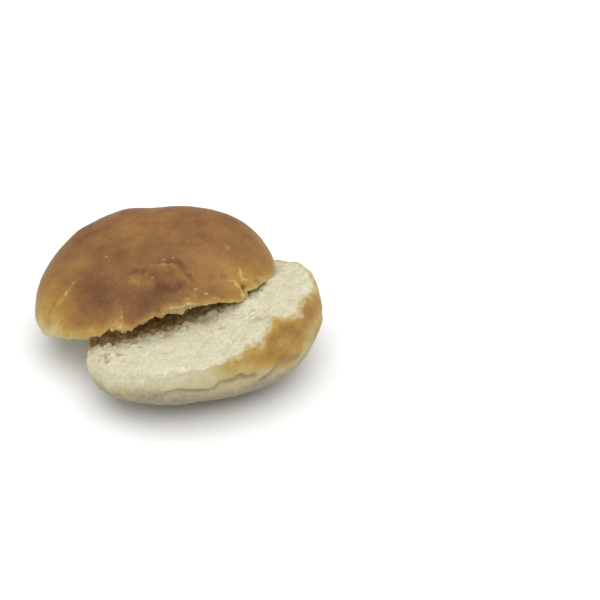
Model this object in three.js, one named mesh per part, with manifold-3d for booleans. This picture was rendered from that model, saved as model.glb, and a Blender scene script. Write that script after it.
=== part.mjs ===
// A round white bread roll, cut across the middle. The heel lies on the flat spot underneath it, and the
// crown lies on the heel's cut face, slid off to the left and to the back, so that the heel's crumb shows.
// Millimetres, +Z up. The origin is the middle of the flat spot that the heel rests on.

import * as THREE from 'three';
import { mergeVertices } from 'three/addons/utils/BufferGeometryUtils.js';
import Module from 'manifold-3d';

const wasm = await Module();
wasm.setup();

const radians = THREE.MathUtils.degToRad;

// ---- Driving dimensions ------------------------------------------------------------------------------

// The baked roll. `radius` is its mean half-width at the widest level, which lies at the height `widest`,
// and the top lies `rise` above that. The plan is a circle with slow waves: `lobes` of them around, each
// a share of the radius, with a crest `at` degrees from +X. A `shoulder` below 1 fills out the sides, and
// a `crest` below 1 flattens the top or the underside.
const ROLL = {
  radius: 49.5,
  plan: [
    { lobes: 2, share: 0.081, at: 29 },
    { lobes: 3, share: 0.008, at: 12 },
    { lobes: 4, share: 0.017, at: -38 },
  ],
  widest: 26.0,
  rise: 27.8,
  above: { shoulder: 0.82, crest: 0.84 },
  below: { shoulder: 0.82, crest: 0.70 },
};

// The share of its depth by which the underside is pressed flat by the tray.
const PRESSED_FLAT = 0.03;

// Soft lumps in the skin of each half. Each stands out by `out` in the direction `around` and `up`
// (degrees), and fades away over `spread`, as a share of the radius. A negative one is a dent.
const HEEL_LUMPS = [
  { around: -161, up: -44, spread: 0.38, out: 1.2 },
  { around: -92, up: -37, spread: 0.36, out: -1.3 },
];
const CROWN_LUMPS = [
  { around: -120, up: 30, spread: 0.21, out: -1.0 },
  { around: 157, up: 32, spread: 0.39, out: 1.8 },
  { around: 86, up: 29, spread: 0.51, out: 1.6 },
  { around: -67, up: 49, spread: 0.54, out: -2.6 },
  { around: -97, up: 46, spread: 0.51, out: -2.2 },
];

// The cut that parts the crown from the heel, as each face shows it: its height over the origin, its slope
// along +X and +Y (mm per mm), and how much higher its edge is than its middle. `torn` lists where crumb
// was torn away or left standing near (x, y): `up` mm, fading over `spread` mm.
const HEEL_CUT = {
  height: 25.5,
  slopeX: 0.262,
  slopeY: -0.174,
  dish: 0.6,
  torn: [
    { x: -42, y: -1, spread: 17, up: 0.4 },
    { x: -39, y: -28, spread: 17, up: 1.5 },
    { x: 7, y: -39, spread: 17, up: -2.7 },
    { x: 29, y: -32, spread: 12, up: 1.9 },
    { x: 45, y: -28, spread: 19, up: 1.1 },
    { x: 3, y: 14, spread: 17, up: 2.8 },
    { x: 18, y: -1, spread: 8, up: 3.0 },
    { x: 30, y: 17, spread: 7, up: 2.0 },
    { x: -35, y: 6, spread: 13, up: 3.0 },
  ],
};
const CROWN_CUT = {
  height: 23.5,
  slopeX: 0.287,
  slopeY: -0.293,
  dish: 3.3,
  torn: [
    { x: -39, y: -11, spread: 24, up: 0.5 },
    { x: -17, y: -30, spread: 15, up: -0.9 },
    { x: 19, y: -26, spread: 20, up: 2.6 },
    { x: 29, y: -22, spread: 13, up: 2.6 },
  ],
};

// Where the crown lies: how far the middle of its cut face has moved from where it grew, and how it is
// turned about that middle, in degrees about X, Y and Z.
const CROWN_SHIFT = { x: -20.4, y: 21.7, z: -4.5 };
const CROWN_TURN = { x: 7.7, y: -3.5, z: -24.4 };

// How finely the skin and the cut faces are faceted.
const SKIN_FACETS = { around: 64, up: 36 };
const CUT_BLOCK = { side: 160, depth: 80, cells: 32 };

// ---- The baked roll ----------------------------------------------------------------------------------

// The unit vector in the direction `around` degrees from +X and `up` degrees from the level.
function direction({ around, up }) {
  return new THREE.Vector3(
    Math.cos(radians(up)) * Math.cos(radians(around)),
    Math.cos(radians(up)) * Math.sin(radians(around)),
    Math.sin(radians(up)),
  );
}

// Half-width of the roll at its widest level, in the direction `around`.
function planRadius(around) {
  let share = 1;
  for (const wave of ROLL.plan) {
    share += wave.share * Math.cos(wave.lobes * (around - radians(wave.at)));
  }
  return ROLL.radius * share;
}

// How far the lumps push the skin out along the unit vector `outward`: a bell curve about each lump.
function lumpHeight(outward, lumps) {
  let height = 0;
  for (const lump of lumps) {
    const away = 1 - outward.dot(direction(lump));
    height += lump.out * Math.exp(-away / lump.spread ** 2);
  }
  return height;
}

// The point of the roll's skin in the direction `outward`: a ball squashed to the roll's height, with its
// sides and its top filled out by powers of the cosine and the sine, and its underside pressed flat.
function skinPoint(outward, lumps) {
  const around = Math.atan2(outward.y, outward.x);
  const level = Math.hypot(outward.x, outward.y);
  const half = outward.z >= 0 ? ROLL.above : ROLL.below;
  const depth = outward.z >= 0 ? ROLL.rise : ROLL.widest * (1 + PRESSED_FLAT);
  const reach = planRadius(around) * level ** half.shoulder;
  const height = Math.sign(outward.z) * Math.abs(outward.z) ** half.crest * depth;
  const point = new THREE.Vector3(reach * Math.cos(around), reach * Math.sin(around), ROLL.widest + height);
  point.addScaledVector(outward, lumpHeight(outward, lumps));
  point.z = Math.max(point.z, 0);
  return point;
}

// The closed skin of the whole roll.
function rollGeometry(lumps) {
  const geometry = new THREE.SphereGeometry(1, SKIN_FACETS.around, SKIN_FACETS.up).rotateX(Math.PI / 2);
  const positions = geometry.attributes.position;
  for (let i = 0; i < positions.count; i++) {
    const outward = new THREE.Vector3().fromBufferAttribute(positions, i).normalize();
    const point = skinPoint(outward, lumps);
    positions.setXYZ(i, point.x, point.y, point.z);
  }
  return geometry;
}

// ---- The cut -----------------------------------------------------------------------------------------

// Height of the cut over the point (x, y).
function cutHeight(cut, x, y) {
  const out = Math.hypot(x, y) / ROLL.radius;
  let height = cut.height + cut.slopeX * x + cut.slopeY * y + cut.dish * out ** 2;
  for (const tear of cut.torn) {
    const away = Math.hypot(x - tear.x, y - tear.y);
    height += tear.up * Math.exp(-((away / tear.spread) ** 2));
  }
  return height;
}

// A block that fills the space above the cut. Its underside follows the cut face.
function aboveCutGeometry(cut) {
  const { side, depth, cells } = CUT_BLOCK;
  const geometry = new THREE.BoxGeometry(side, side, depth, cells, cells, 1);
  const positions = geometry.attributes.position;
  for (let i = 0; i < positions.count; i++) {
    const x = positions.getX(i);
    const y = positions.getY(i);
    const top = positions.getZ(i) > 0 ? depth : 0;
    positions.setZ(i, cutHeight(cut, x, y) + top);
  }
  return geometry;
}

// ---- Solids ------------------------------------------------------------------------------------------

// A solid from a closed geometry whose seams are still open vertex pairs.
function solid(geometry) {
  geometry.deleteAttribute('normal');
  geometry.deleteAttribute('uv');
  const merged = mergeVertices(geometry, 1e-3);
  return new wasm.Manifold(new wasm.Mesh({
    numProp: 3,
    vertProperties: new Float32Array(merged.attributes.position.array),
    triVerts: new Uint32Array(merged.index.array),
  }));
}

function geometryOf(body) {
  const { numProp, vertProperties, triVerts } = body.getMesh();
  const geometry = new THREE.BufferGeometry();
  const positions = new THREE.InterleavedBuffer(vertProperties, numProp);
  geometry.setAttribute('position', new THREE.InterleavedBufferAttribute(positions, 3, 0));
  geometry.setIndex(new THREE.BufferAttribute(triVerts, 1));
  geometry.computeVertexNormals();
  return geometry;
}

// ---- The lower half, which lies on its flat spot -----------------------------------------------------

function heel() {
  const body = solid(rollGeometry(HEEL_LUMPS)).subtract(solid(aboveCutGeometry(HEEL_CUT)));
  const crumb = new THREE.MeshStandardMaterial({ color: 0xd0c7a8, roughness: 0.9, metalness: 0 });
  const mesh = new THREE.Mesh(geometryOf(body), crumb);
  mesh.name = 'heel';
  return mesh;
}

// ---- The upper half, which lies on the heel's cut face -----------------------------------------------

function crown() {
  const body = solid(rollGeometry(CROWN_LUMPS)).intersect(solid(aboveCutGeometry(CROWN_CUT)));
  const geometry = geometryOf(body.translate([0, 0, -CROWN_CUT.height]));
  const crust = new THREE.MeshStandardMaterial({ color: 0x966e42, roughness: 0.55, metalness: 0 });
  const mesh = new THREE.Mesh(geometry, crust);
  mesh.name = 'crown';
  mesh.position.set(CROWN_SHIFT.x, CROWN_SHIFT.y, CROWN_CUT.height + CROWN_SHIFT.z);
  mesh.rotation.set(radians(CROWN_TURN.x), radians(CROWN_TURN.y), radians(CROWN_TURN.z), 'ZYX');
  return mesh;
}

const group = new THREE.Group();
group.name = 'bread_roll';
group.add(heel(), crown());

export default group;
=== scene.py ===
# A bread roll, cut across the middle. The heel lies on its flat spot, and the crown lies on the heel, slid
# off to the left and to the back. Both halves are baked dough: brown crust outside, cream crumb inside.

import itertools
import math

import bpy
import numpy as np
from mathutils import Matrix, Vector


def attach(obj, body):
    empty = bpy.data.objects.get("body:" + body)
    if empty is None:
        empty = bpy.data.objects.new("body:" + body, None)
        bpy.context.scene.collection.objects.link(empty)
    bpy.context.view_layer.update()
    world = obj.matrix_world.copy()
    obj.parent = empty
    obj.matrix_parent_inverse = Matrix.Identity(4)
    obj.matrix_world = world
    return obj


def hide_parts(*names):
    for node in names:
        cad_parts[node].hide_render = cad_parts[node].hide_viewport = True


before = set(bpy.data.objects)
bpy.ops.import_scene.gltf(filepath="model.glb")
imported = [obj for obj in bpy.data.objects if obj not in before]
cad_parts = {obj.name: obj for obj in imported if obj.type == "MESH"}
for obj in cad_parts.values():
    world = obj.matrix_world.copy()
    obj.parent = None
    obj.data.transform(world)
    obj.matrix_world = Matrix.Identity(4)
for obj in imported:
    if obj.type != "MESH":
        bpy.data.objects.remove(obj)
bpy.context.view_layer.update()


# ---- The camera --------------------------------------------------------------------------------------
# It stands in front of the roll and looks down at it, aimed past its right side, so that the roll lies
# to the left of the view's middle.

camera_tilt = math.radians(35.0)
camera_distance = 0.750
camera_aim = Vector((0.0428, 0.0159, 0.0227))
camera_data = bpy.data.cameras.new("camera")
camera_data.sensor_width = 36.0
camera_data.lens = 102.86
camera_data.clip_start = 0.05
camera_data.clip_end = 20.0
camera = bpy.data.objects.new("camera", camera_data)
camera.location = camera_aim + camera_distance * Vector((0.0, -math.cos(camera_tilt), math.sin(camera_tilt)))
camera.rotation_euler = (math.pi / 2 - camera_tilt, 0.0, 0.0)
bpy.context.collection.objects.link(camera)
bpy.context.scene.camera = camera


# ---- The heel ----------------------------------------------------------------------------------------
# The lower half of the roll. Its underside was pressed flat by the tray, its wall goes from pale cream
# below to golden brown at the rim, and its cut face is soft torn crumb.

MM = 0.001

# The baked roll, in millimetres and degrees: the mean half-width at its widest level, the height of that
# level over the tray, and the rise from there to the top. Each wave of the plan is its number of lobes,
# its share of the half-width and the direction of a crest. The powers fill out the sides and the ends.
roll_radius = 49.5
roll_plan = ((2, 0.081, 29.0), (3, 0.008, 12.0), (4, 0.017, -38.0))
roll_widest = 26.0
roll_rise = 27.8
roll_powers_above = (0.82, 0.84)
roll_powers_below = (0.82, 0.70)
roll_pressed_flat = 0.03


def unit_vector(around, up):
    """The unit vector `around` radians from +X and `up` radians from the level."""
    return np.stack([np.cos(up) * np.cos(around), np.cos(up) * np.sin(around), np.sin(up)], axis=-1)


def skin(around, up, lumps):
    """Points of the roll's skin: a ball squashed to the roll's height. The reach is the plan's half-width
    times a power of the cosine of `up`, and the height is a power of its sine. Each lump adds a bell curve
    along the direction outwards, and what would lie below the tray is pressed flat."""
    outward = unit_vector(around, up)
    level = np.clip(np.cos(up), 1e-9, 1.0)
    above = up >= 0
    shoulder = np.where(above, roll_powers_above[0], roll_powers_below[0])
    crest = np.where(above, roll_powers_above[1], roll_powers_below[1])
    depth = np.where(above, roll_rise, roll_widest * (1 + roll_pressed_flat))
    half_width = roll_radius * (1 + sum(
        share * np.cos(lobes * (around - math.radians(at))) for lobes, share, at in roll_plan))
    reach = half_width * level ** shoulder
    height = roll_widest + depth * np.sign(up) * np.abs(np.sin(up)) ** crest
    points = np.stack([reach * np.cos(around), reach * np.sin(around), height], axis=-1)
    for lump_around, lump_up, spread, out in lumps:
        middle = unit_vector(math.radians(lump_around), math.radians(lump_up))
        bulge = out * np.exp(-(1 - outward @ middle) / spread ** 2)
        points = points + bulge[..., None] * outward
    points[..., 2] = np.maximum(points[..., 2], 0.0)
    return points


def cut_height(cut, x, y):
    """Height of a cut face over (x, y): a slanting plane, dished by the square of the distance from the
    middle, with a bell curve wherever crumb was torn away or left standing."""
    height = cut["height"] + cut["slope_x"] * x + cut["slope_y"] * y
    height = height + cut["dish"] * (x ** 2 + y ** 2) / roll_radius ** 2
    for torn_x, torn_y, spread, up in cut["torn"]:
        height = height + up * np.exp(-((x - torn_x) ** 2 + (y - torn_y) ** 2) / spread ** 2)
    return height


halvings = 26  # halve the way from pole to pole down to a few millionths of a degree


def edge_level(lumps, cut, raised):
    """The level `up` at which the skin meets the cut face, raised by `raised` millimetres: the span from
    the underside's pole to the top's is halved again and again about the crossing."""
    low = np.full_like(around, -math.pi / 2)
    high = np.full_like(around, math.pi / 2)
    for _ in range(halvings):
        middle = (low + high) / 2
        points = skin(around, middle, lumps)
        under = points[..., 2] < cut_height(cut, points[..., 0], points[..., 1]) + raised
        low = np.where(under, middle, low)
        high = np.where(under, high, middle)
    return (low + high) / 2


lattice_cells = 32  # the random lattices repeat after this many cells
lattice_start = 500.0  # keeps every cell's number above 0


def soft_noise(points, size, seed):
    """Numbers from -1 to 1 that drift over `size` millimetres: random numbers at the corners of a cubic
    lattice, blended between the corners by the smooth step 3t^2 - 2t^3 along each axis."""
    lattice = np.random.default_rng(seed).uniform(-1, 1, (lattice_cells,) * 3)
    place = points / size + lattice_start
    corner = np.floor(place).astype(int)
    part = place - corner
    part = part * part * (3 - 2 * part)
    total = np.zeros(points.shape[:-1])
    for step in itertools.product((0, 1), repeat=3):
        weight = np.prod(np.where(np.array(step) == 1, part, 1 - part), axis=-1)
        x, y, z = np.moveaxis((corner + step) % lattice_cells, -1, 0)
        total += weight * lattice[x, y, z]
    return total


def rough_noise(points, size, layers, seed):
    """Soft noise in layers, each half the size and a little over half the strength of the one before."""
    return sum(0.55 ** k * soft_noise(points, size / 2 ** k, seed + k) for k in range(layers))


def holes(points, spacing, smallest, widest, seed):
    """How deep each point lies in a round hole, from 0 at the hole's lip and outside it to 1 in its middle.
    One hole sits somewhere in each cubic cell of `spacing`, with its own radius."""
    chance = np.random.default_rng(seed)
    middles = chance.uniform(0, 1, (lattice_cells,) * 3 + (3,))
    radii = chance.uniform(smallest, widest, (lattice_cells,) * 3)
    place = points / spacing + lattice_start
    cell = np.floor(place).astype(int)
    deepest = np.zeros(points.shape[:-1])
    for step in itertools.product((-1, 0, 1), repeat=3):
        neighbour = cell + step
        x, y, z = np.moveaxis(neighbour % lattice_cells, -1, 0)
        away = np.linalg.norm(place - neighbour - middles[x, y, z], axis=-1) * spacing
        deepest = np.maximum(deepest, 1 - away / radii[x, y, z])
    return deepest


def smooth_step(low, high, value):
    """0 at `low` and beyond it, 1 at `high` and beyond it, whichever is larger, and 3t^2 - 2t^3 between."""
    part = np.clip((value - low) / (high - low), 0.0, 1.0)
    return part * part * (3 - 2 * part)


def disc_grid(cells):
    """A square grid bent into a disc: each square ring of the grid becomes a circle, evenly spaced.
    Gives each point's share of the way from the middle to the edge, and its direction around."""
    a, b = np.meshgrid(np.linspace(-1, 1, cells + 1), np.linspace(-1, 1, cells + 1), indexing="ij")
    wide = np.abs(a) >= np.abs(b)
    longer = np.where(wide, a, b)
    shorter = np.where(wide, b, a)
    turn = np.pi / 4 * shorter / np.where(longer == 0, 1, longer)
    angle = np.where(wide, turn, np.pi / 2 - turn)
    share = np.maximum(np.abs(a), np.abs(b))
    return share, np.arctan2(np.sin(angle) * longer, np.cos(angle) * longer)


def outward_normals(points, inside):
    """Unit normals of a grid of points: the cross product of the steps along its two directions, turned
    to point away from `inside`."""
    normals = np.cross(np.gradient(points, axis=0), np.gradient(points, axis=1))
    normals /= np.maximum(np.linalg.norm(normals, axis=-1, keepdims=True), 1e-9)
    return normals * np.sign(np.sum(normals * (points - inside)))


def half_mesh(name, crust, crumb, masks):
    """A closed mesh of two bent grids that share their outer ring, the crust and the cut face. The crust
    takes the left half of the UV square and the cut face the right half. `masks` holds, by name, a number
    for each point of the two grids, which the material reads."""
    cells = crust.shape[0] - 1
    crust_index = np.arange((cells + 1) ** 2).reshape(cells + 1, cells + 1)
    inner = (cells - 1) ** 2
    crumb_index = crust_index.copy()
    crumb_index[1:-1, 1:-1] = crust_index.size + np.arange(inner).reshape(cells - 1, cells - 1)
    points = np.concatenate([crust.reshape(-1, 3), crumb[1:-1, 1:-1].reshape(-1, 3)]) * MM

    def squares(index, turned):
        """The grid's squares, each as its four corners in turn, turned over where asked."""
        corners = [index[:-1, :-1], index[1:, :-1], index[1:, 1:], index[:-1, 1:]]
        faces = np.stack(corners[::-1] if turned else corners, axis=-1)
        return faces.reshape(-1, 4)

    def winding(grid, upwards):
        """Whether the grid's squares must be turned over to face upwards, or downwards."""
        across = np.cross(grid[1:, :-1] - grid[:-1, :-1], grid[:-1, 1:] - grid[:-1, :-1])
        return (np.sum(across[..., 2]) > 0) != upwards

    crust_on_top = np.mean(crust[..., 2]) > np.mean(crumb[..., 2])
    crust_faces = squares(crust_index, winding(crust, crust_on_top))
    crumb_faces = squares(crumb_index, winding(crumb, not crust_on_top))
    mesh = bpy.data.meshes.new(name)
    mesh.from_pydata(points, [], np.concatenate([crust_faces, crumb_faces]))

    row, column = np.divmod(crust_index, cells + 1)
    square = np.stack([row, column], axis=-1) / cells
    flat = np.zeros((len(points), 2))
    flat[crust_index] = square
    flat[crumb_index[1:-1, 1:-1]] = square[1:-1, 1:-1]
    corners = np.concatenate([crust_faces, crumb_faces]).ravel()
    place = flat[corners]
    on_crumb = np.arange(len(corners)) >= crust_faces.size
    margin = 0.005  # keeps the crust and the cut face apart in the UV square
    place[:, 0] = place[:, 0] * (0.5 - 2 * margin) + margin + np.where(on_crumb, 0.5, 0.0)
    place[:, 1] = place[:, 1] * (1.0 - 2 * margin) + margin
    mesh.uv_layers.new(name="OFBake").data.foreach_set("uv", place.ravel())
    for mask, (crust_values, crumb_values) in masks.items():
        values = np.concatenate([crust_values.ravel(), crumb_values[1:-1, 1:-1].ravel()])
        mesh.attributes.new(mask, "FLOAT", "POINT").data.foreach_set("value", values)
    mesh.polygons.foreach_set("use_smooth", np.ones(len(mesh.polygons), dtype=bool))
    mesh.update()
    piece = bpy.data.objects.new(name, mesh)
    bpy.context.collection.objects.link(piece)
    return piece


def ring_noise(around, size, layers, seed):
    """Rough noise along the roll's edge, read on a circle of the roll's half-width."""
    circle = np.stack([np.cos(around), np.sin(around), np.zeros_like(around)], axis=-1)
    return rough_noise(roll_radius * circle, size, layers, seed)


def around_curve(around, knots):
    """A value that changes around the roll: straight lines between the values given at some degrees."""
    degrees, values = zip(*knots)
    return np.interp(np.degrees(around), degrees, values, period=360.0)


def bell(away, spread):
    """A bell curve: 1 in the middle, and exp(-1) at the distance `spread`."""
    return np.exp(-(away / spread) ** 2)


def route_away(points, route):
    """Distance of each point to the nearest stretch of a route, and how much higher it lies than there."""
    nearest = np.full(points.shape[:-1], 1e9)
    higher = np.zeros(points.shape[:-1])
    for start, end in zip(route[:-1], route[1:]):
        along = np.clip((points - start) @ (end - start) / np.sum((end - start) ** 2), 0.0, 1.0)
        away = points - start - along[..., None] * (end - start)
        distance = np.linalg.norm(away, axis=-1)
        higher = np.where(distance < nearest, away[..., 2], higher)
        nearest = np.minimum(nearest, distance)
    return nearest, higher


def on_wall(route, lumps):
    """A route on the skin, from its degrees around and its millimetres up: the level `up` that gives the
    height is found by halving."""
    around, height = np.radians([place[0] for place in route]), np.array([place[1] for place in route])
    low, high = np.full_like(around, -math.pi / 2), np.full_like(around, math.pi / 2)
    for _ in range(halvings):
        middle = (low + high) / 2
        under = skin(around, middle, lumps)[..., 2] < height
        low, high = np.where(under, middle, low), np.where(under, high, middle)
    return skin(around, low, lumps)


def on_the_level(route):
    """A route given as x and y, as points at height 0."""
    return np.array([(x, y, 0.0) for x, y in route])


def spots(points, places):
    """The sum of bell curves about some places, each given as x, y, z, spread and height."""
    return sum(height * bell(np.linalg.norm(points - (x, y, z), axis=-1), spread)
               for x, y, z, spread, height in places)


def near_the_edge(grid, edge_ring, lip, spread):
    """Distance of each point to the torn edge straight across, and the grid with the edge rounded: the
    edge moves in and down by `lip`, and its surroundings follow under a bell curve."""
    away = np.linalg.norm(grid - edge_ring, axis=-1)
    rounding = np.stack([-0.8 * np.cos(around), -0.8 * np.sin(around), np.full_like(around, -0.6)], axis=-1)
    return away, grid + (lip * bell(away, spread))[..., None] * rounding


def cut_face(cut, edge_ring, raised):
    """A cut face without its relief, and how far each point lies in from the edge: spokes from the middle
    to the edge's ring, at the cut's height, and raised with the edge within a few millimetres of it."""
    middle = np.array([0.0, 0.0, cut["height"]])
    face = middle + share[..., None] * (edge_ring - middle)
    inward = np.linalg.norm(face - edge_ring, axis=-1)
    face[..., 2] = cut_height(cut, face[..., 0], face[..., 1]) + raised * bell(inward, 3.5)
    return face, inward


def pulled_apart(points, seed):
    """Round tufts parted by sharp valleys, from 0 in the valleys: the sizes of two soft noises, whichever
    their sign."""
    return np.abs(soft_noise(points, 3.2, seed)) + 0.5 * np.abs(soft_noise(points, 1.7, seed + 1))


def crumb_relief(points, seed):
    """Torn crumb, in millimetres above the cut: broad waves, fine tufts (layers of soft noise, pulled out
    of shape by another one), and round pores of two sizes. The second result says how deep each point lies
    between the tufts and in the pores, from 0 to 1, and the material paints the crumb darker by it, as
    painted shade."""
    waves = 0.6 * rough_noise(points, 8.0, 3, seed)
    pulled = points + 0.8 * np.stack([soft_noise(points, 3.0, seed + 20 + k) for k in range(3)], axis=-1)
    tufts = sum(0.9 ** k * soft_noise(pulled, 1.9 / 1.5 ** k, seed + 10 + k) for k in range(3))
    wide = smooth_step(0.0, 0.7, holes(pulled, 6.5, 0.2, 1.1, seed + 30))
    small = smooth_step(0.0, 0.8, holes(pulled, 1.9, 0.1, 0.7, seed + 31))
    relief = 0.13 * tufts - 0.5 * wide - 0.3 * small
    return waves + relief, smooth_step(-0.05, -0.5, relief)


cells = 220  # squares along each side of a half's two grids
share, around = disc_grid(cells)
ring_power = 1.2  # packs the skin's rings closer together towards the poles

heel_lumps = (
    (-161.0, -44.0, 0.38, 1.2),
    (-92.0, -37.0, 0.36, -1.3),
)
heel_cut = {
    "height": 25.5, "slope_x": 0.262, "slope_y": -0.174, "dish": 0.6,
    "torn": ((-42, -1, 17, 0.4), (-39, -28, 17, 1.5), (7, -39, 17, -2.7), (29, -32, 12, 1.9),
             (45, -28, 19, 1.1), (3, 14, 17, 2.8), (18, -1, 8, 3.0), (30, 17, 7, 2.0), (-35, 6, 13, 3.0)),
}

# At some degrees around: how far the crust's torn edge stands over the cut (mm), how round its lip is (mm),
# how golden the wall baked below it, how high up the gold starts (mm), and how much the low wall is
# floured and darkened with painted shade.
heel_edge_steps = (
    (-150, 0.0), (-140, 0.6), (-132, -2.6), (-122, -3.0), (-112, -1.0), (-100, -1.3), (-80, -2.0),
    (-70, -2.5), (-62, -1.8), (-56, -3.4), (-51, -5.0), (-48, -3.4), (-44, -0.6), (-40, 1.8), (-36, 1.5),
    (-31, -0.2), (-26, -2.0), (-20, -3.2), (-17, -0.6), (-10, 0.8), (-5, 0.0), (0, -1.4), (8, -2.4),
    (20, -0.5), (60, 0.0), (100, -1.5), (130, 0.5), (170, 0.0),
)
heel_lip = ((-180, 1.4), (-150, 1.6), (-110, 1.3), (-85, 0.7), (-60, 0.35), (40, 0.35), (110, 0.8))
heel_gold = ((-180, 0.0), (-112, 0.0), (-95, 0.3), (-80, 0.75), (-70, 1.0), (60, 1.0), (120, 0.7), (150, 0.2))
heel_lowest_gold = ((-110, 24), (-75, 21), (-55, 17), (-25, 15), (60, 14), (120, 18), (170, 22))
heel_flour_and_shade = ((-165, 0.8), (-140, 1.0), (-30, 1.0), (10, 0.7), (150, 0.7))

# Soft swells of the wall: x, y, z, spread and height in mm.
heel_swells = ((50, -4, 32, 10, 1.8), (45, -20, 30, 9, 0.7), (-41, -33, 17, 10, 1.5), (-31, -40, 13, 10, 1.0),
               (-46, -24, 24, 7, 0.8))

# Folds baked into the wall: degrees around and millimetres up.
heel_folds = (
    ((-112, 17), (-108, 19), (-104, 21), (-98, 22), (-91, 21), (-84, 20), (-80, 20.5), (-77, 23), (-71, 23),
     (-66, 25), (-63, 23), (-58, 23)),
    ((-54, 19), (-48, 21), (-41, 24.5), (-35, 22.5), (-29, 22)),
    ((-14, 19.0), (2, 21.0), (18, 18.5), (34, 17.0)),
    ((52, 15.0), (74, 17.0), (97, 14.5), (118, 15.0)),
    ((140, 11.0), (158, 12.0), (176, 10.0)),
)

# Streaks under the rim that baked darker: spread (mm), how much browner, and degrees around and mm up. And
# one dark speck, in degrees around and mm up.
heel_scorched = ((3.0, 0.16, ((-42, 37), (-38, 38))), (5.0, 0.12, ((-15, 37), (0, 36))))
heel_speck = (-92, 26.8)

# Coarse, torn places in the crumb: x, y and how far they reach.
heel_coarse = ((25, -15, 5), (20, -9, 4), (-39, -26, 5), (-26, -18, 4), (8, -16, 4), (-41, -14, 3))

# Tufts of crumb left standing (below 0: torn away): x, y, spread and height.
heel_tufts = ((25, 16, 6, 2.2), (16, 8, 5, 1.0), (-43, -14, 2.5, 1.2), (-39, -10, 3, -2.0),
              (-34, -27, 2.5, 0.9))

# Cracks where the crumb was torn apart, as x and y.
heel_cracks = (
    ((-45, -10), (-42, -13), (-40, -16)),
    ((-41, -22), (-38, -25), (-37, -29)),
    ((-37, -25), (-34, -24), (-32, -27)),
    ((-31, -13), (-27, -15)),
)

# Where the crumb starts to lie deep under the crown's front edge, as x and y. Behind this it is painted
# brown, as painted shade under the crown.
heel_covered = ((-43, -9), (-39, -10), (-33, -8), (-27, -7), (-18, -5), (-9, -3), (0, 0), (8, 3), (15, 9),
                (23, 15))


def folded(wall):
    """How far the folds raise the wall, in millimetres, and how deep each point lies in a crease: a sharp
    valley along each route and a bulge above it, as bell curves, both stronger and weaker by turns."""
    relief = np.zeros_like(share)
    crease = np.zeros_like(share)
    wavering = 1.0 + 0.5 * rough_noise(wall, 6.0, 2, 58)
    for route in heel_folds:
        away, higher = route_away(wall, on_wall(route, heel_lumps))
        relief += wavering * (0.9 * bell(higher - 2.4, 2.2) * bell(away, 4.5) - 1.1 * bell(away, 0.9))
        crease = np.maximum(crease, np.clip(wavering, 0, 1.2) * bell(away, 1.3))
    return relief, crease


def heel_skin(edge, edge_ring):
    """The heel's wall and underside, from the pole under it up to the torn edge, with their masks. The
    relief (two noises, swells and folds) stands along the skin's normals, and fades out towards the flat
    spot. The wall is golden above, floured and painted darker below, and browner again on the underside.
    The darker low wall and the darker creases of the folds are painted shade."""
    wall = skin(around, -math.pi / 2 + share ** ring_power * (edge + math.pi / 2), heel_lumps)
    normals = outward_normals(wall, np.array([0.0, 0.0, roll_widest]))
    height = wall[..., 2]
    folds, crease = folded(wall)
    relief = 0.35 * rough_noise(wall, 13.0, 3, 50) + 0.14 * rough_noise(wall, 3.0, 4, 55) - 0.3
    relief += spots(wall, heel_swells) + folds
    wall = wall + (relief * smooth_step(0.0, 6.0, height))[..., None] * normals
    lip = around_curve(around, heel_lip)
    below, wall = near_the_edge(wall, edge_ring, lip, 1.2 + lip)

    gold = around_curve(around, heel_gold)
    patches = rough_noise(wall, 14.0, 3, 70)
    # Partly flour, partly painted shade: the low wall, which faces the table, turns to the darker powdery
    # colour.
    floury_and_shaded = smooth_step(25.0, 13.0, height + 3.0 * patches + 2.0 * rough_noise(wall, 3.0, 3, 76))
    floury_and_shaded *= around_curve(around, heel_flour_and_shade) * smooth_step(0.5, 3.0, height)
    # Painted shade: the folds' creases turn to the darker powdery colour.
    floury_and_shaded = np.maximum(floury_and_shaded, 0.7 * crease)
    lowest_gold = around_curve(around, heel_lowest_gold)
    golden = gold * (1 - 0.5 * floury_and_shaded) * smooth_step(lowest_gold, lowest_gold + 13, height + 3.0 * patches)
    browning = 0.09 + (0.29 + 0.16 * rough_noise(wall, 6.0, 3, 71)) * golden
    browning += 0.6 * smooth_step(5.0, 0.0, height + 1.5 * patches)
    # The creases are painted browner as well, as painted shade; the patches are the crust's own tone.
    browning += 0.10 * crease + 0.06 * patches
    browning += 0.9 * bell(np.linalg.norm(wall - on_wall((heel_speck,), heel_lumps)[0], axis=-1), 0.5)
    for spread, browner, route in heel_scorched:
        away, _ = route_away(wall, on_wall(route, heel_lumps))
        browning += browner * bell(away, spread) * gold
    browning -= 0.08 * gold * bell(below, 1.8)
    torn_skin = 1.2 * ring_noise(around, 3.0, 2, 67)
    torn_wide = (1 - gold) * smooth_step(8.0, 0.0, below + 1.5 * torn_skin)
    torn_narrow = 0.45 * smooth_step(1.6, 0.0, below + torn_skin)
    return wall, {
        "browning": browning,
        "crumb": np.maximum(torn_wide, torn_narrow),
        "hollow_shade": np.zeros_like(share),
        "dusted_and_shaded": floury_and_shaded,
        "deep": np.zeros_like(share),
    }


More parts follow.
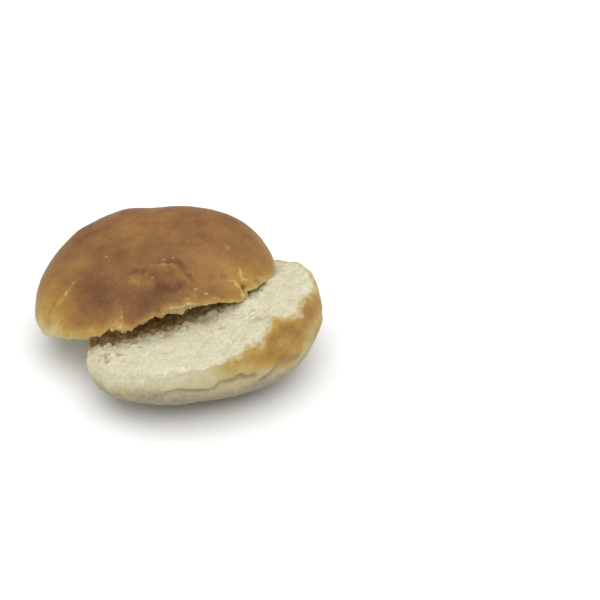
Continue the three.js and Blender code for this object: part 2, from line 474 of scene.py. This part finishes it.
def heel_crumb(edge_ring, raised):
    """The heel's cut face, with its masks: crumb relief, cracks with swollen lips, coarse places of tufts
    and pits, single tufts, and a band of coarse tufts beside the part that the crown covers. The cracks, the
    pits and the valleys between the coarse tufts, and the crumb under the crown, are painted darker brown, as
    painted shade."""
    face, inward = cut_face(heel_cut, edge_ring, raised)
    relief, hollow_shade = crumb_relief(face, 60)
    # The deep mask is painted shade: a brown painted into the crumb where shade falls.
    deep = 0.15 * hollow_shade
    wandering = face * (1, 1, 0) + 0.9 * rough_noise(face, 2.5, 3, 65)[..., None]
    for route in heel_cracks:
        away, _ = route_away(wandering, on_the_level(route))
        relief += 0.5 * bell(away - 1.8, 1.0) - 1.5 * bell(away, 0.9)
        # Painted shade in the crack.
        deep = np.maximum(deep, 0.7 * bell(away, 1.0))
    pit = smooth_step(0.0, 0.45, holes(wandering * (1, 1, 0) + 0.5, 3.2, 0.7, 1.9, 75))
    torn_tufts = pulled_apart(face, 72)
    for x, y, reach in heel_coarse:
        coarse = bell(np.hypot(face[..., 0] - x, face[..., 1] - y), reach)
        relief += coarse * (1.6 * (torn_tufts - 0.3) - 1.2 * pit)
        # Painted shade in the pits and between the coarse tufts.
        deep = np.maximum(deep, coarse * (0.4 * pit + 0.6 * smooth_step(0.3, 0.06, torn_tufts)))
    for x, y, spread, out in heel_tufts:
        relief += out * bell(np.hypot(face[..., 0] - x, face[..., 1] - y), spread)

    away, _ = route_away(wandering, on_the_level(heel_covered))
    beside = bell(away - 6.0, 4.5)
    relief += 1.8 * beside * (torn_tufts - 0.3) + 1.2 * bell(away, 5.0) * (torn_tufts - 0.3)
    # Painted shade between the tufts beside the crown's edge.
    deep = np.maximum(deep, 0.45 * beside * smooth_step(0.22, 0.02, torn_tufts))
    # Painted shade over all the crumb that the crown covers, as far as the crown's right end.
    behind = face[..., 1] - np.interp(face[..., 0], *zip(*heel_covered))
    away *= 1 - smooth_step(0.0, 3.0, behind) * smooth_step(24.0, 14.0, face[..., 0])
    under = smooth_step(7.5, 1.5, away + 3.0 * rough_noise(face, 3.0, 3, 68))
    deep = np.maximum(deep, under * (0.85 + 0.5 * rough_noise(face, 2.5, 3, 74)))
    face[..., 2] += relief * smooth_step(0.0, 2.0, inward)
    lip = around_curve(around, heel_lip)
    inward, face = near_the_edge(face, edge_ring, lip, 1.2 + lip)

    gold = around_curve(around, heel_gold)
    return face, {
        "browning": 0.1 + 0.3 * gold,
        "crumb": smooth_step(-1.0 - 2.0 * (1 - gold), 3.0, inward + 1.2 * rough_noise(face, 2.0, 3, 66)),
        "hollow_shade": hollow_shade,
        "dusted_and_shaded": np.zeros_like(share),
        "deep": deep,
    }


def side_by_side(crust_masks, crumb_masks):
    """The masks by name, each with its values on the crust and on the cut face."""
    return {name: (crust_masks[name], crumb_masks[name]) for name in crust_masks}


heel_raised = around_curve(around, heel_edge_steps)
heel_raised += 0.30 * ring_noise(around, 1.8, 2, 41) + 0.55 * ring_noise(around, 5.0, 2, 43)
heel_edge = edge_level(heel_lumps, heel_cut, heel_raised)
heel_edge_ring = skin(around, heel_edge, heel_lumps)
heel_wall, heel_wall_masks = heel_skin(heel_edge, heel_edge_ring)
heel_face, heel_face_masks = heel_crumb(heel_edge_ring, heel_raised)
heel_piece = half_mesh("heel_half", heel_wall, heel_face, side_by_side(heel_wall_masks, heel_face_masks))


def tone(red, green, blue):
    """A colour from its three values out of 255, as the light that it sends back."""
    values = np.array([red, green, blue]) / 255
    light = np.where(values <= 0.04045, values / 12.92, ((values + 0.055) / 1.055) ** 2.4)
    return (*light.tolist(), 1.0)


class Nodes:
    """A material being put together: each call adds a node of the given kind, sets its plain values and
    joins its inputs, and gives the node back."""

    def __init__(self, name):
        self.material = bpy.data.materials.new(name)
        self.material.use_nodes = True
        self.tree = self.material.node_tree
        self.surface = self.tree.nodes["Principled BSDF"]

    def add(self, kind, settings=None, **inputs):
        node = self.tree.nodes.new(kind)
        for setting, value in (settings or {}).items():
            setattr(node, setting, value)
        for name, value in inputs.items():
            self.join(node, name, value)
        return node

    def join(self, node, name, value):
        """Sets an input from a value or from another node's output. The input goes by its name, with _ for
        each space, or by its number after a _."""
        key = int(name[1:]) if name[0] == "_" and name[1:].isdigit() else name.replace("_", " ")
        socket = node.inputs[key]
        if isinstance(value, bpy.types.NodeSocket):
            self.tree.links.new(value, socket)
        else:
            socket.default_value = value

    def mask(self, name):
        """One of the piece's own masks."""
        return self.add("ShaderNodeAttribute", {"attribute_name": name}).outputs["Fac"]

    def noise(self, place, size, detail=4.0, roughness=0.55):
        """Noise from 0 to 1 whose spots are about `size` millimetres wide."""
        return self.add("ShaderNodeTexNoise", Vector=place, Scale=0.5 / (size * MM), Detail=detail,
                        Roughness=roughness).outputs["Fac"]

    def sum_of(self, first, second, by):
        """first + second * by"""
        node = self.add("ShaderNodeMath", {"operation": "MULTIPLY_ADD"}, _0=second, _1=by, _2=first)
        return node.outputs[0]

    def blend(self, amount, first, second):
        """The first colour where the amount is 0, and the second where it is 1. The mix node's sockets 6
        and 7 are its two colours."""
        return self.add("ShaderNodeMix", {"data_type": "RGBA"}, _0=amount, _6=first, _7=second).outputs[2]

    def ramp(self, level, stops):
        """A colour for each level, blended between the given stops."""
        node = self.add("ShaderNodeValToRGB", Fac=level)
        elements = node.color_ramp.elements
        while len(elements) < len(stops):
            elements.new(0.5)
        for element, (at, colour) in zip(elements, stops):
            element.position = at
            element.color = tone(*colour)
        return node.outputs["Color"]


def bread_material(name, dust_and_shade, shade_in_depths):
    """Crust and crumb in one. The crust's colour runs through the tones of baking, from cream to dark brown,
    with mottles of 4 mm and of half a millimetre and fine pale flecks, and it turns to a speckled, powdery
    colour where the mask says so; on the heel's low wall and in its creases that colour is darker, as painted
    shade. Where the mask says crumb, it is cream and matt, in patches of three sizes, darker in its pores and
    between its tufts as painted shade, and turns to a brown of painted shade deep down and near the gap
    between the halves."""
    nodes = Nodes(name)
    place = nodes.add("ShaderNodeTexCoord").outputs["Object"]
    level = nodes.sum_of(nodes.mask("browning"), nodes.noise(place, 4.0), 0.16)
    level = nodes.sum_of(level, nodes.noise(place, 0.5, 3.0, 0.8), 0.36)
    level = nodes.add("ShaderNodeMath", {"operation": "SUBTRACT"}, _0=level, _1=0.26).outputs[0]
    crust = nodes.ramp(level, (
        (0.00, (199, 190, 152)), (0.16, (188, 172, 120)), (0.34, (178, 146, 74)), (0.54, (156, 117, 58)),
        (0.76, (130, 90, 48)), (1.00, (98, 61, 31))))
    flecks = nodes.ramp(nodes.noise(place, 0.6, 2.0, 0.5), (
        (0.0, (0, 0, 0)), (0.70, (0, 0, 0)), (0.80, (120, 120, 120))))
    crust = nodes.blend(flecks, crust, tone(206, 182, 124))
    speckled = nodes.ramp(nodes.noise(place, 0.9, 4.0, 0.7), (
        (0.38, [value - 14 for value in dust_and_shade]), (0.62, [value + 14 for value in dust_and_shade])))
    # Where the mask says so the crust turns to the powdery colour, which on the heel is partly painted shade.
    dusted_and_shaded = nodes.blend(nodes.mask("dusted_and_shaded"), crust, speckled)
    cream = nodes.ramp(nodes.noise(place, 0.7, 4.0, 0.6), (
        (0.30, (193, 187, 154)), (0.50, (204, 200, 172)), (0.68, (217, 215, 193))))
    for size, most in ((2.6, 190), (9.0, 130)):
        patch = nodes.ramp(nodes.noise(place, size, 4.0), ((0.45, (0, 0, 0)), (0.70, (most, most, most))))
        cream = nodes.blend(patch, cream, tone(190, 180, 145))
    # Painted shade: the crumb turns darker in its pores and between its tufts.
    crumb = nodes.blend(nodes.mask("hollow_shade"), cream, tone(176, 163, 124))
    # Painted shade: the deep crumb turns brown.
    crumb = nodes.blend(nodes.mask("deep"), crumb, tone(*shade_in_depths))
    nodes.join(nodes.surface, "Base_Color", nodes.blend(nodes.mask("crumb"), dusted_and_shaded, crumb))
    matt = nodes.add("ShaderNodeMapRange", Value=nodes.mask("crumb"), To_Min=0.48, To_Max=0.95).outputs[0]
    nodes.join(nodes.surface, "Roughness", nodes.sum_of(matt, nodes.noise(place, 2.5), 0.06))
    nodes.join(nodes.surface, "Specular_IOR_Level", 0.2)
    nodes.join(nodes.surface, "Subsurface_Weight", 0.12)
    nodes.join(nodes.surface, "Subsurface_Radius", (2.0, 1.2, 0.6))
    nodes.join(nodes.surface, "Subsurface_Scale", 0.001)
    fine = nodes.sum_of(nodes.noise(place, 0.5, 3.0, 0.7), nodes.noise(place, 1.8, 3.0), 1.6)
    depth = nodes.add("ShaderNodeMapRange", Value=nodes.mask("crumb"), To_Min=0.35, To_Max=0.4).outputs[0]
    bump = nodes.add("ShaderNodeBump", Strength=depth, Distance=0.0003, Height=fine)
    nodes.join(nodes.surface, "Normal", bump.outputs["Normal"])
    return nodes.material


# On the heel the powdery colour is dark: partly flour, partly painted shade. Its brown for deep crumb is
# painted shade.
heel_piece.data.materials.append(bread_material("heel_bread", dust_and_shade=(148, 140, 116), shade_in_depths=(164, 132, 80)))
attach(heel_piece, "root")
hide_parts("heel")


# ---- The crown ---------------------------------------------------------------------------------------
# The upper half. It grew above the cut, and was lifted off, turned a little and laid down again to the
# left and to the back. Its crust is browned and satin smooth, with wrinkles, a few cracks and pale flecks.

crown_lumps = (
    (-120.0, 30.0, 0.21, -1.0),
    (157.0, 32.0, 0.39, 1.8),
    (86.0, 29.0, 0.51, 1.6),
    (-67.0, 49.0, 0.54, -2.6),
    (-97.0, 46.0, 0.51, -2.2),
)
crown_cut = {
    "height": 23.5, "slope_x": 0.287, "slope_y": -0.293, "dish": 3.3,
    "torn": ((-39, -11, 24, 0.5), (-17, -30, 15, -0.9), (19, -26, 20, 2.6), (29, -22, 13, 2.6)),
}
crown_shift = np.array([-20.4, 21.7, -4.5])
crown_turn = (7.7, -3.5, -24.4)  # degrees about X, then Y, then Z, about the cut face's middle

# At some degrees around: how far the torn edge stands over the cut (below 0, the crust hangs over it), how
# round its lip is, and how wide its rim stayed pale (mm).
crown_edge_steps = (
    (-150, 0.0), (-110, -0.8), (-95, -0.2), (-90, 1.0), (-84, 1.0), (-82, -0.8), (-76, -0.7), (-70, 0.6),
    (-50, 0.1), (-35, 0.6), (-28, 0.0), (-18, -0.6), (-12, -2.0), (-7, -3.8), (-3, -3.8), (-1, -2.8),
    (0, -1.6), (3, -1.2), (9, -1.4), (13, -2.2), (18, -3.8), (23, -3.8), (27, -2.0), (35, -0.8), (50, 0.0),
    (120, 0.6), (170, 0.0),
)
crown_lip = ((-180, 1.0), (-120, 0.9), (-95, 0.6), (-75, 0.3), (60, 0.3), (110, 0.6), (150, 0.9))
crown_pale_rim = ((-180, 5.0), (-130, 7.0), (-100, 5.0), (-80, 2.4), (-30, 2.0), (0, 2.2), (60, 2.5),
                  (120, 4.0))

# How brown the crust baked at some heights in mm.
crown_browning = ((20, 0.28), (28, 0.44), (34, 0.55), (38, 0.62), (43, 0.72), (47, 0.79), (51, 0.74),
                  (54, 0.69))

# Soft swells and hollows of the skin: x, y, z, spread and height in mm.
crown_swells = (
    (20, 36, 46, 12, 0.5), (2, 33, 49, 9, 0.8), (-22, 24, 48, 8, 0.9), (-14, 30, 46, 6, -0.8),
    (-37, 9, 45, 7, 0.7), (-30, 16, 46, 5, -0.5), (13, -11, 50, 5, 0.6), (-36, -31, 37, 7, 0.8),
    (5, -3, 52, 5, -0.3), (20, -20, 46, 7, 0.4), (-12, -22, 48, 7, -0.4), (-2, -34, 43, 7, 0.4),
    (33, 4, 47, 8, 0.4),
)

# Wrinkles: how far the skin stands out along them (below 0: a valley), their half-width, how much browner
# they are painted (below 0: paler), and their route in x, y and z. Along the valleys and pits the browner
# colour is partly how the crust baked and partly painted shade.
crown_wrinkles = (
    (-0.8, 1.2, 0.12, ((13, -4, 51), (14, -2.5, 51), (17.5, -3.5, 51), (21, -7, 50), (26, -9, 48.5))),
    (-0.6, 1.1, 0.12, ((1, -13, 50.5), (4, -12.5, 50.5), (6, -10.5, 50.5))),
    (0.6, 1.5, -0.17, ((6, -10, 50.5), (8, -9, 51), (11.5, -7.5, 51), (15.5, -5.5, 51), (18.5, -6, 50.5),
                       (21.5, -7.5, 49.5), (23, -10, 49), (25, -10, 48.5))),
    (0.4, 1.8, -0.15, ((1, -17.5, 49.5), (7.5, -19, 48), (10.5, -16.5, 48.5))),
    (-0.5, 1.6, 0.12, ((10, -13, 49.5), (14, -16.5, 48.5), (20, -17, 47.5), (23, -13.5, 48))),
    (0.2, 0.5, -0.12, ((-31, -33, 41), (-34, -39, 35), (-36, -42, 31))),
    (0.3, 0.8, -0.12, ((-24, -23.5, 47), (-25, -29, 44.5), (-27.5, -34, 41), (-29, -38, 37.5))),
    (0.3, 0.5, -0.25, ((2, -30, 44.5), (4, -33, 43), (5, -35, 41), (4.5, -37, 39.5))),
    (0.4, 0.5, -0.28, ((40.5, 6.5, 45), (41.5, 5, 44.5), (43.5, 3, 43), (44.5, 3.5, 42))),
    (0.4, 0.5, -0.28, ((40, -1, 44.5), (41.5, 0, 44), (42.5, -1, 43), (43.5, -1.5, 42), (45.5, -2, 40),
                       (46, -2.5, 38.5))),
    (-0.7, 0.8, 0.25, ((44.5, -0.5, 41.5), (45, 0.5, 41))),
    (-0.5, 0.7, 0.22, ((36.5, -1.5, 46), (37.5, -0.5, 46))),
    (0.15, 0.4, -0.30, ((28, -17.5, 45.5), (29, -17, 45))),
    (0.15, 0.4, -0.20, ((29, -13.5, 46.5), (30, -15.5, 45.5))),
)

# Places where the crust baked darker or paler: x, y, z, spread, and how much darker (below 0: paler).
crown_tones = (
    (-8, -27, 46, 13, 0.07), (13, -25, 45, 12, 0.12), (-24, -22, 47, 8, 0.02), (-31, -36, 38, 13, -0.18),
    (43, 6, 44, 15, -0.18), (0, 42, 35, 18, -0.08), (-34, 5, 47, 9, 0.08), (29, -17, 45, 6, -0.16),
    (-46, 5, 34, 12, -0.05), (14, -17, 48, 2, 0.08), (23, -13.5, 48, 2, 0.08), (20, -17, 47.5, 2, 0.06),
    (0, 4, 53, 12, 0.05), (-12, 10, 53, 7, -0.05), (12, 20, 52, 9, 0.06), (-8, -8, 52, 6, 0.06),
    (7, -11, 50, 5, 0.07), (-22, -4, 50, 7, 0.04), (30, 24, 47, 9, -0.05),
)

# Pale flecks of dry dough: x, y, z, radius and strength.
crown_flecks = (
    (-11.5, 17.5, 52, 0.7, 0.3), (-15, -9, 51, 0.7, 0.25), (30.5, 15, 49, 0.5, 0.5), (32, 14, 49, 0.5, 0.5),
    (29.5, -12.5, 46.5, 0.5, 0.7), (34.5, -12, 45, 0.5, 0.7), (-25, -29, 44.5, 0.5, 0.6),
    (-24, -24.5, 46.5, 0.5, 0.5), (45.5, -2.5, 39.5, 0.7, 0.8), (15.5, 9, 52, 0.5, 0.3),
    (8, -36, 41, 0.5, 0.6), (10, -14, 49.5, 0.5, 0.5), (14, -1, 51.5, 0.5, 0.4), (10, -3.5, 51.5, 0.5, 0.4),
    (4.5, -34, 42, 0.5, 0.6),
)


def crown_skin(edge, edge_ring):
    """The crown's skin, from the top down to its torn edge, as it grew, with its masks. The relief is two
    noises, swells, pleats at the left end and wrinkles, each wrinkle a bell curve between two shallower
    ones of the other sign. The browning grows with the height, and fades towards the edge."""
    dome = skin(around, math.pi / 2 - share ** ring_power * (math.pi / 2 - edge), crown_lumps)
    normals = outward_normals(dome, np.array([0.0, 0.0, roll_widest]))
    below = np.linalg.norm(dome - edge_ring, axis=-1)
    relief = 0.25 * rough_noise(dome, 15.0, 3, 90) + 0.10 * rough_noise(dome, 5.0, 3, 95)
    relief += spots(dome, crown_swells)
    pleated = bell(np.degrees(around) + 135.0, 38.0) * bell(below, 9.0)
    pleats = ring_noise(around + 0.004 * below, 2.6, 2, 97)
    relief += 0.45 * pleated * pleats
    dusted_and_shaded = 0.35 * pleated * np.clip(pleats, 0, 1)
    browning = np.interp(dome[..., 2], *zip(*crown_browning))
    browning += 0.07 * rough_noise(dome, 15.0, 5, 98) + 0.06 * rough_noise(dome, 5.0, 4, 99)
    browning += spots(dome, crown_tones)
    wandering = dome + 0.6 * np.stack([rough_noise(dome, 3.0, 3, 110 + k) for k in range(3)], axis=-1)
    wavering = 1.0 + 0.6 * rough_noise(dome, 2.5, 2, 120)
    for out, width, darker, route in crown_wrinkles:
        away, _ = route_away(wandering, np.array(route, dtype=float))
        relief += out * wavering * (bell(away, width) - 0.4 * bell(away - 2.2 * width, 1.2 * width))
        # Browner along valleys and pits: partly baked colour, partly painted shade.
        browning += darker * wavering * bell(away, 1.3 * width)
    for x, y, z, radius, strength in crown_flecks:
        away = np.linalg.norm(wandering - (x, y, z), axis=-1)
        dusted_and_shaded = np.maximum(dusted_and_shaded, strength * bell(away, radius))
    pale_rim = around_curve(around, crown_pale_rim)
    browning -= 0.30 * bell(below + 1.5 * ring_noise(around, 4.0, 2, 85), pale_rim)
    dome = dome + relief[..., None] * normals
    torn_skin = smooth_step(0.8, 0.0, below + 0.5 * ring_noise(around, 1.5, 2, 84))
    lip = around_curve(around, crown_lip)
    _, dome = near_the_edge(dome, edge_ring, lip, 1.0 + lip)
    return dome, {
        "browning": browning,
        "crumb": (0.15 + 0.6 * crown_flap) * torn_skin,
        "hollow_shade": np.zeros_like(share),
        "dusted_and_shaded": dusted_and_shaded,
        "deep": np.zeros_like(share),
    }


def crown_crumb(edge_ring, raised):
    """The crown's cut face, as it grew, with its masks: crumb relief, coarse tufts near the front edge, and
    a flap of crumb that hangs down just inside it. Near the front edge, where the gap between the halves lies
    in shade, the crumb is painted brown as painted shade, less so on the flap."""
    face, inward = cut_face(crown_cut, edge_ring, raised)
    front = bell(np.degrees(around) + 60.0, 65.0) * bell(inward - 3.0, 9.0)
    face[..., 2] -= 3.4 * crown_flap * bell(inward - 2.6, 1.8)
    face[..., 2] -= 1.6 * front * (pulled_apart(face, 172) - 0.3)
    relief, hollow_shade = crumb_relief(face, 160)
    face[..., 2] -= relief * smooth_step(0.0, 1.6, inward)
    lip = around_curve(around, crown_lip)
    _, face = near_the_edge(face, edge_ring, lip, 1.0 + lip)
    return face, {
        "browning": np.full_like(share, 0.3),
        "crumb": smooth_step(0.0, 1.0, inward),
        "hollow_shade": hollow_shade,
        "dusted_and_shaded": np.zeros_like(share),
        # Painted shade: brown near the front edge and in the pores.
        "deep": np.maximum(0.2 * hollow_shade, front * (1.0 - 0.7 * crown_flap * bell(inward - 2.6, 2.2))),
    }


def laid_down(points):
    """The crown's points moved from where they grew to where it lies: turned about the middle of its cut
    face, about X, then Y, then Z, and shifted."""
    middle = np.array([0.0, 0.0, crown_cut["height"]])
    x, y, z = np.radians(crown_turn)
    about_x = np.array([[1, 0, 0], [0, np.cos(x), -np.sin(x)], [0, np.sin(x), np.cos(x)]])
    about_y = np.array([[np.cos(y), 0, np.sin(y)], [0, 1, 0], [-np.sin(y), 0, np.cos(y)]])
    about_z = np.array([[np.cos(z), -np.sin(z), 0], [np.sin(z), np.cos(z), 0], [0, 0, 1]])
    return (points - middle) @ (about_z @ about_y @ about_x).T + middle + crown_shift


crown_raised = around_curve(around, crown_edge_steps)
crown_teeth = 0.45 + 0.9 * bell(np.degrees(around) + 125.0, 28.0)  # the edge is most ragged at the left
crown_raised += crown_teeth * ring_noise(around, 1.7, 2, 81) + 0.6 * ring_noise(around, 5.5, 2, 83)
crown_edge = edge_level(crown_lumps, crown_cut, crown_raised)
crown_edge_ring = skin(around, crown_edge, crown_lumps)
crown_flap = bell(np.degrees(around) + 38.0, 13.0)  # how much of a flap of crumb hangs there, from 0 to 1
crown_dome, crown_dome_masks = crown_skin(crown_edge, crown_edge_ring)
crown_face, crown_face_masks = crown_crumb(crown_edge_ring, crown_raised)
crown_piece = half_mesh("crown_half", laid_down(crown_dome), laid_down(crown_face),
                        side_by_side(crown_dome_masks, crown_face_masks))
# The crown's brown for deep crumb is painted shade.
crown_piece.data.materials.append(bread_material("crown_bread", dust_and_shade=(214, 196, 144), shade_in_depths=(206, 158, 100)))
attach(crown_piece, "root")
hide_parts("crown")


# ---- The table and the light -------------------------------------------------------------------------
# A plain pale table top, a wide soft light above the roll, and an even white surround.

table_reach = 3.0
table_corners = [(x * table_reach, y * table_reach, 0) for x, y in ((-1, -1), (1, -1), (1, 1), (-1, 1))]
table_mesh = bpy.data.meshes.new("table_top")
table_mesh.from_pydata(table_corners, [], [(0, 1, 2, 3)])
table_top = bpy.data.objects.new("table_top", table_mesh)
bpy.context.collection.objects.link(table_top)
table_paint = Nodes("table_paint")
table_paint.join(table_paint.surface, "Base_Color", (0.96, 0.96, 0.96, 1.0))
table_paint.join(table_paint.surface, "Roughness", 0.8)
table_mesh.materials.append(table_paint.material)


def soft_light(name, place, size, power):
    """A square area light that faces the roll."""
    data = bpy.data.lights.new(name, "AREA")
    data.shape = "SQUARE"
    data.size = size
    data.energy = power
    light = bpy.data.objects.new(name, data)
    light.location = place
    light.rotation_euler = (-Vector(place)).to_track_quat("-Z", "Y").to_euler()
    bpy.context.collection.objects.link(light)


soft_light("light_above", (0.05, -0.12, 1.0), 1.6, 12.0)
surround = bpy.data.worlds.new("surround")
surround.use_nodes = True
surround.node_tree.nodes["Background"].inputs["Color"].default_value = (1.0, 1.0, 1.0, 1.0)
surround.node_tree.nodes["Background"].inputs["Strength"].default_value = 0.6
bpy.context.scene.world = surround
bpy.context.scene.view_settings.view_transform = "Standard"
